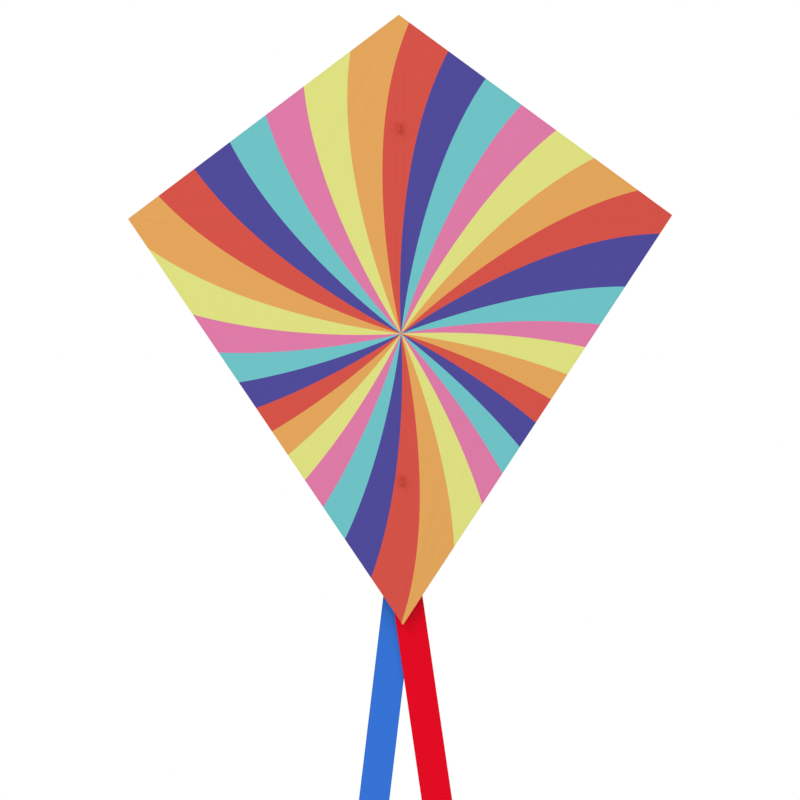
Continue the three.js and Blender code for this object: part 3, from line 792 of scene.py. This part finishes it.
def add_hub_patch(webbing, yarn):
    """A square patch with rounded corners, pulled in at its stitching."""
    low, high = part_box("hub_patch")
    steps = np.linspace(-1, 1, PATCH_STEPS)
    u, v = np.meshgrid(steps, steps[::-1])
    x = u * np.sqrt(1 - PATCH_ROUND * v**8) * high.x
    z = v * np.sqrt(1 - PATCH_ROUND * u**8) * high.z
    near_edge = np.maximum(np.abs(u), np.abs(v))
    groove = PATCH_GROOVE * np.exp(-(((near_edge - PATCH_SEAM) / 0.03) ** 2))
    patch = upright_sheet("hub_patch_cloth", x, z, low.y, high.y - groove, webbing)
    settle(patch, "frame", "webbing", "hub_patch")
    turns = ((-1, -1), (1, -1), (1, 1), (-1, 1), (-1, -1))
    seam = [(u * high.x * PATCH_SEAM, high.y, v * high.z * PATCH_SEAM) for u, v in turns]
    piece = stitches("hub_patch_thread", zip(seam, seam[1:]), yarn, (0, 1, 0))
    settle(piece, "frame", "webbing")


def arch(x, reach):
    """The section of cloth pulled over a rod: 1 over the rod, 0 where it meets the flange."""
    share = np.clip(np.abs(x) / reach, 0, 1)
    return (1 - share**3) ** 1.5


def sewn_shell(name, half_width, shoulder, apex, closes_at, height, webbing):
    """Webbing over a rod along z, its mouth at z = 0, and its seams. It comes down flat from closes_at on."""
    u = np.linspace(-1, 1, SHELL_COLUMNS)[None, :]
    v = np.linspace(0, 1, SHELL_ROWS)[:, None]
    z = v * apex + 0 * u
    width = outline_width(z, half_width, shoulder, apex)
    x = u * width
    reach = np.maximum(width - FLANGE_WIDTH, 0.2 * MM)
    rise = np.ones_like(z)
    gathers = np.zeros_like(z)
    seam_end = apex - SEAM_END
    if closes_at is not None:
        rise = 1 - smoothstep(closes_at, apex - 1 * MM, z)
        gathers = GATHER * np.cos(u * math.pi * 5) * np.sin(math.pi * np.clip(rise, 0, 1))
        seam_end = apex - TIP_SEAM_END
    lip = MOUTH_LIP * np.exp(-((z / MOUTH_REACH) ** 2))
    tunnel = arch(x, reach) * rise
    outer = FLANGE_FRONT + SHELL + tunnel * (height - SHELL) + (lip - gathers) * arch(x, reach)
    inner = np.maximum(np.where(tunnel > 0.001, outer - SHELL, FLANGE_FRONT), FLANGE_FRONT)
    shell = upright_sheet(f"{name}_webbing", x, z, inner, outer, webbing)
    run = np.linspace(SEAM_END, seam_end, 40)
    flange_x = outline_width(run, half_width, shoulder, apex) - FLANGE_WIDTH / 2
    rows = [[(side * x, FLANGE_FRONT + SHELL, z) for x, z in zip(flange_x, run)] for side in (-1, 1)]
    return shell, rows


def outline_width(z, half_width, shoulder, apex):
    """Half the width of a pocket at a height: straight sides up to the shoulder, then a point."""
    point = half_width * (apex - z) / max(apex - shoulder, 0.1 * MM)
    return np.clip(point, 0.6 * MM, half_width)


def sew_on(name, shell, rows, turn, place, body, yarn):
    """Turns a shell about y, moves it to its place, and stitches it down there."""
    matrix = Matrix.Translation(place) @ Matrix.Rotation(turn, 4, "Y")
    shell.data.transform(matrix)
    moved = [[matrix @ Vector(point) for point in row] for row in rows]
    settle(shell, body, "webbing", name)
    settle(stitches(f"{name}_thread", moved, yarn, (0, 1, 0)), body, "webbing")


def add_pocket(name, cap, body, axis, side, taper, turn, webbing, yarn):
    """A pocket over a rod's end. Its tip is at its box's high or low end along x or z, as side says."""
    low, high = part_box(name)
    mouth = low[axis] if side > 0 else high[axis]
    bore = abs(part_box(cap)[1 if side > 0 else 0][axis] - mouth)
    length = high[axis] - low[axis]
    rise = high.y - FLANGE_FRONT
    closes_at = bore + CAP_CLEARANCE
    shell, rows = sewn_shell(name, high[2 - axis], length - taper, length, closes_at, rise, webbing)
    place = Vector((0, 0, 0))
    place[axis] = mouth
    sew_on(name, shell, rows, turn, place, body, yarn)


def add_pockets(webbing, yarn):
    """Pockets at the nose and the tail, pointed like the sail, and at the two wing tips."""
    for name, edge_rise, side, turn in (("nose", NOSE_Z, 1, 0.0), ("tail", -TAIL_Z, -1, math.pi)):
        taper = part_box(f"{name}_pocket")[1].x * edge_rise / WING_X
        add_pocket(f"{name}_pocket", f"{name}_end_cap", "frame", 2, side, taper, turn, webbing, yarn)
    for name, side in SIDES.items():
        add_pocket(
            f"{name}_wing_pocket", f"{name}_spar_end_cap", f"{name}_wing", 0, side, WING_POCKET_TAPER,
            side * math.pi / 2, webbing, yarn,
        )


def add_spine_tabs(webbing, yarn):
    """Two short straps over the spine, open at both ends."""
    for name in ("upper_spine_tab", "lower_spine_tab"):
        low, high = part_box(name)
        length = high.z - low.z
        shell, rows = sewn_shell(name, high.x, length, length, None, high.y - low.y, webbing)
        sew_on(name, shell, rows, 0, (0, 0, low.z), "frame", yarn)


def add_bridle_tabs(cloth):
    """Doubled tabs of printed cloth on the front, each with a hole for the bridle line and two flaps."""
    for name in ("upper_bridle_tab", "lower_bridle_tab"):
        low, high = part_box(name)
        tab, rows = standing_tab(f"{name}_cloth", low, high, cloth)
        seams = stitches(f"{name}_thread", rows, cloth, (1, 0, 0), uv=True)
        u, v = np.meshgrid(np.linspace(-1, 1, 25), np.linspace(1, -1, 19))
        z = v * (high.z - low.z) / 2 + (low.z + high.z) / 2
        level = smoothstep(0, 0.15, 1 - np.abs(u)) * smoothstep(0, 0.12, 1 - np.abs(v))
        front = high.y - (0.15 + 0.35 * level) * MM
        flaps = upright_sheet(f"{name}_flaps", u * high.x, z, front, high.y, cloth)
        settle(tab, "frame", "sail_cloth", name)
        settle(seams, "frame", "sail_cloth")
        settle(flaps, "frame", "sail_cloth")


def tab_outline(middle, base_y, half_height):
    """Points (y, z) round a tab: a round tip about the middle, and straight sides to its base."""
    turns = np.linspace(math.pi / 2, 1.5 * math.pi, 41)
    arc = middle + TAB_TIP_RADIUS * np.stack([np.cos(turns), np.sin(turns)], -1)
    path = [arc[-1], (base_y, middle[1] - half_height), (base_y, middle[1] + half_height), arc[0]]
    sides = [np.linspace(start, end, 8, endpoint=False) for start, end in zip(path, path[1:])]
    return np.concatenate([arc[:-1], *sides])


def standing_tab(name, low, high, cloth):
    """A tab in the plane x = 0, a band of cloth from its hole to its outline, and its seams."""
    base_y = high.y - 0.1 * MM
    middle = np.array([low.y + TAB_TIP_RADIUS, (low.z + high.z) / 2])
    spoke = tab_outline(middle, base_y, (high.z - low.z) / 2) - middle
    length = np.linalg.norm(spoke, axis=1)[:, None]
    along = spoke / length
    # In from an edge of the cloth, and half its thickness there, in millimetres
    edge = ((0.0, 0.0), (0.06, 0.35), (0.2, 0.6), (0.5, TAB_HALF_THICKNESS / MM))
    band = [(TAB_HOLE_RADIUS + inset * MM, thick * MM) for inset, thick in edge]
    rim = [(length - inset * MM, thick * MM) for inset, thick in reversed(edge)]
    rings = [(middle + along * radius, thick) for radius, thick in band + rim]
    section = rings + [(points, -thick) for points, thick in reversed(rings[1:-1])]
    vertices = [(thick, y, z) for points, thick in section for y, z in points]
    numbers = np.arange(len(vertices)).reshape(len(section), -1).tolist()
    printed = [(x, z) for x, y, z in vertices]
    tab = add_mesh(name, vertices, ring_faces(numbers, closed=True), cloth, printed, sharp=60)
    seam = middle + along * (length - TAB_SEAM_INSET)
    seam = np.roll(seam[seam[:, 0] < base_y - 1.5 * MM], 4, axis=0)
    return tab, [[(side * TAB_HALF_THICKNESS, y, z) for y, z in seam] for side in (-1, 1)]


# ---- Frame pieces ----

def rod_profile(radius, length):
    """A rod's outline from end to end, with a small bevel at each."""
    end = [(0, 0), (radius - ROD_BEVEL, 0), (radius, ROD_BEVEL)]
    return end + [(reach, length - height) for reach, height in reversed(end)]


def add_rods(rod):
    """The spine, and the two halves of the cross spar."""
    low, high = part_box("spine_rod")
    profile = rod_profile(SPINE_RADIUS, high.z - low.z)
    spine = revolve("spine", profile, rod, 40, (0, 0, 1), (0, ROD_Y, low.z))
    settle(spine, "frame", "rod", "spine_rod")
    for name in SIDES:
        low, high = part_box(f"{name}_cross_spar")
        profile = rod_profile(SPAR_RADIUS, high.x - low.x)
        spar = revolve(f"{name}_spar", profile, rod, 32, (1, 0, 0), (low.x, ROD_Y, 0))
        settle(spar, f"{name}_wing", "rod", f"{name}_cross_spar")


def add_sleeves(soft_vinyl):
    """Soft tubes with a rolled lip at each end."""
    for name, side in SIDES.items():
        low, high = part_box(f"{name}_spar_sleeve")
        length = high.x - low.x
        outer = high.z
        body = outer - SLEEVE_LIP_RISE
        shares = [step / SLEEVE_STEPS for step in range(SLEEVE_STEPS + 1)]
        lip = [(outer - 0.6 * MM, 0), (outer - 0.15 * MM, 0.3 * MM), (outer, 1.0 * MM), (body, SLEEVE_LIP)]
        run = [(body, SLEEVE_LIP + (length - 2 * SLEEVE_LIP) * share) for share in shares[1:-1]]
        far_lip = [(radius, length - height) for radius, height in reversed(lip)]
        bore = [(SPAR_RADIUS + VINYL_GAP, length * share) for share in reversed(shares)]
        profile = lip + run + far_lip + bore
        place = (low.x if side > 0 else high.x, ROD_Y, 0)
        sleeve = revolve(f"{name}_soft_sleeve", profile, soft_vinyl, 32, (side, 0, 0), place)
        settle_on_fold(sleeve, name, "vinyl", f"{name}_spar_sleeve")


def applied(piece):
    """The piece's mesh with its modifiers applied."""
    graph = bpy.context.evaluated_depsgraph_get()
    mesh = bpy.data.meshes.new_from_object(piece.evaluated_get(graph))
    piece.modifiers.clear()
    piece.data = mesh
    return mesh


def press_groove(mesh, low, high):
    """Presses a groove into the rear face of the hub's plate, in step with its rounded outline."""
    place = np.empty(len(mesh.vertices) * 3)
    mesh.vertices.foreach_get("co", place)
    place = place.reshape(-1, 3)
    middle = (np.array(low) + np.array(high)) / 2
    half = (np.array(high) - np.array(low)) / 2 - HUB_PLATE_CORNER
    beyond = np.abs(place - middle)[:, [0, 2]] - half[[0, 2]]
    outside = np.hypot(np.maximum(beyond[:, 0], 0), np.maximum(beyond[:, 1], 0))
    inset = HUB_PLATE_CORNER - outside - np.minimum(beyond.max(1), 0)
    share = 1 - smoothstep(0.25 * GROOVE_WIDTH, 0.5 * GROOVE_WIDTH, np.abs(inset - GROOVE_INSET))
    on_face = place[:, 1] > high[1] - 0.3 * MM
    place[:, 1] -= GROOVE_DEPTH * share * on_face
    mesh.vertices.foreach_set("co", place.ravel())
    mesh.update()


def moulded_copy(name, node, voxel, material, extra=(), plate=None):
    """The CAD node's own solid as a moulding: a fine remesh, relaxed to round every edge."""
    piece = new_object(name, frame["nodes"][node].data.copy())
    shape = bmesh.new()
    shape.from_mesh(piece.data)
    bmesh.ops.remove_doubles(shape, verts=shape.verts, dist=0.001 * MM)
    for part in extra:
        shape.from_mesh(part.data)
        bpy.data.objects.remove(part)
    shape.to_mesh(piece.data)
    shape.free()
    remesh = piece.modifiers.new("remesh", "REMESH")
    remesh.mode = "VOXEL"
    remesh.voxel_size = voxel
    fine = applied(piece)
    if plate:
        press_groove(fine, *plate)
    relax = piece.modifiers.new("relax", "SMOOTH")
    relax.factor = 0.5
    relax.iterations = 4
    thin = piece.modifiers.new("thin", "DECIMATE")
    thin.ratio = 0.35
    finished = applied(piece)
    finished.shade_smooth()
    finished.materials.clear()
    finished.materials.append(material)
    return piece


def add_hub(plastic):
    """The centre hub, with a collar at each mouth and a groove pressed into its rear plate."""
    low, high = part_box("centre_hub")
    collars = []
    for bore, along, place in (
        (SPINE_RADIUS + 0.6 * MM, (0, 0, 1), (0, ROD_Y, high.z - COLLAR_LENGTH)),
        (SPINE_RADIUS + 0.6 * MM, (0, 0, 1), (0, ROD_Y, low.z)),
        (SPAR_RADIUS - 0.3 * MM, (1, 0, 0), (-HUB_PLATE_X, ROD_Y, 0)),
        (SPAR_RADIUS - 0.3 * MM, (1, 0, 0), (HUB_PLATE_X - COLLAR_LENGTH, ROD_Y, 0)),
    ):
        profile = rounded_ring(bore, BARREL_RADIUS, COLLAR_LENGTH, COLLAR_BEVEL)
        collars.append(revolve("collar", profile, plastic, 48, along, place))
    plate = ((-HUB_PLATE_X, low.y, low.z), (HUB_PLATE_X, high.y, high.z))
    hub = moulded_copy("moulded_hub", "centre_hub", HUB_VOXEL, plastic, collars, plate)
    settle(hub, "frame", "moulded_plastic", "centre_hub")


def add_stop_rings(soft_vinyl):
    """Two soft rings that grip the spine above and below the hub."""
    for name in ("upper_stop", "lower_stop"):
        low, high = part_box(f"{name}_ring")
        profile = rounded_ring(SPINE_RADIUS + VINYL_GAP, high.x, high.z - low.z, STOP_BEVEL)
        ring = revolve(name, profile, soft_vinyl, 48, (0, 0, 1), (0, ROD_Y, low.z))
        settle(ring, "frame", "vinyl", f"{name}_ring")


def add_tail_clip(plastic):
    """The clip on the spine with its post, and the cap on the post."""
    clip = moulded_copy("moulded_tail_clip", "tail_clip", CLIP_VOXEL, plastic)
    low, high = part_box("tail_clip_cap")
    radius, thick = high.x, high.y - low.y
    # In from the rim, and up from the front face or down from the rear face, in millimetres
    front_edge = ((0.5, 0), (0.1, 0.2), (0, 0.6))
    rear_edge = ((0, 1.1), (0.3, 0.4), (1.0, 0), (1.8, 0), (2.0, 0.25), (2.4, 0.25), (2.6, 0))
    profile = [(0, CAP_BORE_DEPTH), (CAP_BORE, CAP_BORE_DEPTH), (CAP_BORE, CAP_BORE_BEVEL)]
    profile.append((CAP_BORE + CAP_BORE_BEVEL, 0))
    profile += [(radius - inward * MM, up * MM) for inward, up in front_edge]
    profile += [(radius - inward * MM, thick - down * MM) for inward, down in rear_edge]
    profile.append((0, thick))
    cap = revolve("moulded_tail_cap", profile, plastic, 64, (0, 1, 0), (0, low.y, PIVOT.z))
    settle(clip, "frame", "moulded_plastic", "tail_clip")
    settle(cap, "frame", "moulded_plastic", "tail_clip_cap")


def finish_end_caps(soft_vinyl):
    """The end caps sit in the pockets, so the CAD solids stay, in the vinyl finish."""
    for name in ("nose", "tail", "left_spar", "right_spar"):
        materials = frame["nodes"][f"{name}_end_cap"].data.materials
        materials.clear()
        materials.append(soft_vinyl)


# ---- Ribbons ----

def ribbon_wave(distance):
    """How far back a ribbon lies from its plane, at a distance below the pivot."""
    fade = smoothstep(RIBBON_FLAT, RIBBON_LENGTH, distance)
    return RIBBON_WAVE * fade * np.sin(2 * math.pi * (distance - RIBBON_FLAT) / RIBBON_WAVELENGTH)


def ribbon_grid():
    """Across and along for a ribbon, with close rows where a hem ends."""
    across = np.linspace(-0.5, 0.5, 21) * RIBBON_WIDTH
    top_hem = (-RIBBON_ABOVE_PIVOT, TOP_HEM_END, TOP_HEM_END + HEM_STEP)
    end_hem = (END_HEM_START - HEM_STEP, END_HEM_START, RIBBON_END)
    along = np.interp(range(RIBBON_ROWS[-1] + 1), RIBBON_ROWS, top_hem + end_hem)
    return np.meshgrid(across, along)


def ribbon_layers(across, along, depth):
    """The depths of a ribbon's faces: waved, curled at the sides, thick at the hems, thin at the rim."""
    curl = RIBBON_CURL * smoothstep(RIBBON_FLAT, RIBBON_LENGTH, along) * (2 * across / RIBBON_WIDTH) ** 2
    hem = 0.3 * MM * smoothstep(END_HEM_START - HEM_STEP, END_HEM_START, along)
    hem += 0.25 * MM * (1 - smoothstep(TOP_HEM_END, TOP_HEM_END + HEM_STEP, along))
    at_edge = np.abs(across) > RIBBON_WIDTH / 2 - 0.3 * MM
    half = (RIBBON_THICKNESS / 2 + hem) * (1 - 0.4 * at_edge)
    middle = depth + ribbon_wave(along) + curl
    return middle - half, middle + half


def add_ribbon(name, cloth, yarn, metal):
    """One ribbon with its eyelet, hung on the clip's post and leaning to its side."""
    pivot = Vector(JOINTS[f"{name}_tail_swing"]["pos_m"])
    lean = Matrix.Rotation(RIBBON_LEAN[name], 4, "Y")
    to_row = Matrix.Translation((0, 0, pivot.z)) @ lean
    across, along = ribbon_grid()
    front, back = ribbon_layers(across, along, pivot.y)
    rest_uv = np.stack([across, along], -1)
    ribbon = upright_sheet(f"{name}_ribbon", across, -along, front, back, cloth, rest_uv)
    cut_eyelet_hole(ribbon, pivot.y)
    ribbon.data.transform(to_row)
    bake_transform(ribbon)
    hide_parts(f"{name}_ribbon_upper", f"{name}_ribbon_lower")
    eyelet = add_eyelet(name, pivot.z, metal)
    add_ribbon_seams(name, to_row, pivot.y, yarn)


def add_ribbon_seams(name, to_row, depth, yarn):
    """A row of stitches across both faces of each hem."""
    half = RIBBON_WIDTH / 2 - RIBBON_SEAM
    for label, distance, stands in (
        ("top", TOP_HEM_END - RIBBON_SEAM, 0.5 * MM),
        ("end", END_HEM_START + RIBBON_SEAM, 0.55 * MM),
    ):
        middle = float(ribbon_wave(distance)) + depth
        for face, out in (("front", -1), ("back", 1)):
            line = [to_row @ Vector((side * half, middle + out * stands, -distance)) for side in (-1, 1)]
            piece = stitches(f"{name}_ribbon_{label}_{face}_thread", [line], yarn, (0, out, 0))
            settle(piece, f"{name}_tail_{label}", f"{name}_ribbon")


def cut_eyelet_hole(ribbon, depth):
    """Punches the round hole for the eyelet with a boolean cut."""
    ends = [(0, -PUNCH_REACH), (EYELET_HOLE_RADIUS, -PUNCH_REACH)]
    outline = ends + [(radius, -height) for radius, height in reversed(ends)]
    punch = revolve("punch", outline, ribbon.data.materials[0], 64, (0, 1, 0), (0, depth, 0))
    cut = ribbon.modifiers.new("hole", "BOOLEAN")
    cut.operation = "DIFFERENCE"
    cut.solver = "EXACT"
    cut.object = punch
    applied(ribbon)
    bpy.data.objects.remove(punch)


def add_eyelet(name, height, metal):
    """A rolled brass eyelet: a barrel with a domed flange on each face of the ribbon."""
    low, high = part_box(f"{name}_eyelet")
    thick = high.y - low.y
    middle, half = (EYELET_BORE + high.x) / 2, (high.x - EYELET_BORE) / 2
    domed = []
    for step in range(9):
        angle = math.pi * step / 8
        domed.append((middle - half * math.cos(angle), EYELET_FLANGE * (1 - math.sin(angle))))
    profile = domed + [(EYELET_BARREL, EYELET_FLANGE), (EYELET_BARREL, thick - EYELET_FLANGE)]
    profile += [(radius, thick - level) for radius, level in reversed(domed)]
    eyelet = revolve(f"{name}_brass_eyelet", profile, metal, 64, (0, 1, 0), (0, low.y, height))
    settle(eyelet, f"{name}_tail_top", "brass", f"{name}_eyelet")
    return eyelet


# ---- Assembly ----

add_camera()
add_lights()
add_floor()

cloth = sail_cloth()
tape = tape_cloth("hem_tape", TAPE_GREY, TAPE_RIB)
webbing = tape_cloth("webbing", WEBBING_GREY, WEBBING_RIB)
yarn = thread()
rod = fibreglass()
soft_vinyl = vinyl()
plastic = moulded_plastic()
metal = brass()

add_rods(rod)
add_sail(cloth)
add_hems(tape, yarn, cloth)
add_spine_tape(tape, yarn, cloth)
add_hub_patch(webbing, yarn)
add_pockets(webbing, yarn)
add_spine_tabs(webbing, yarn)
add_bridle_tabs(cloth)
add_sleeves(soft_vinyl)
add_hub(plastic)
add_stop_rings(soft_vinyl)
add_tail_clip(plastic)
finish_end_caps(soft_vinyl)
add_ribbon("blue", ribbon_cloth("blue_ribbon", BLUE_RIBBON), yarn, metal)
add_ribbon("red", ribbon_cloth("red_ribbon", RED_RIBBON), yarn, metal)
